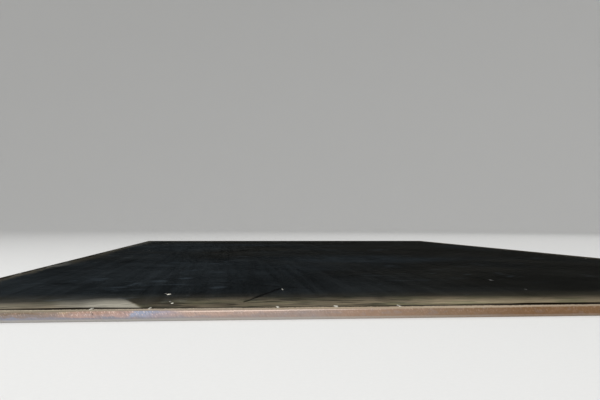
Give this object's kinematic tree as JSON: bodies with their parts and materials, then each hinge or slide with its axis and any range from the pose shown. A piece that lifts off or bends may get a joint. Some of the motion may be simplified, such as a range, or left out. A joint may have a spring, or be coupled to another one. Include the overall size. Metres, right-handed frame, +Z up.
{
  "type": "steel plate",
  "caption": "Flat rectangular hot-rolled steel plate with torch-cut sides: slightly bevelled cut faces, a melted top arris and dark mill scale on both faces.",
  "frame": {"origin": "centre of the underside, on the surface that the plate lies on", "axes": "+X along the short front edge to the right, +Y along the plate's length to the back, +Z up through the thickness"},
  "size_m": [1.5, 3, 0.015],
  "materials": {
    "mill_scale_steel": "hot-rolled steel with dark blue-grey mill scale on both faces and heat-tinted, drag-lined torch cuts round the sides"
  },
  "bodies": {
    "root": {"steel_plate": "mill_scale_steel"}
  },
  "joints": []
}
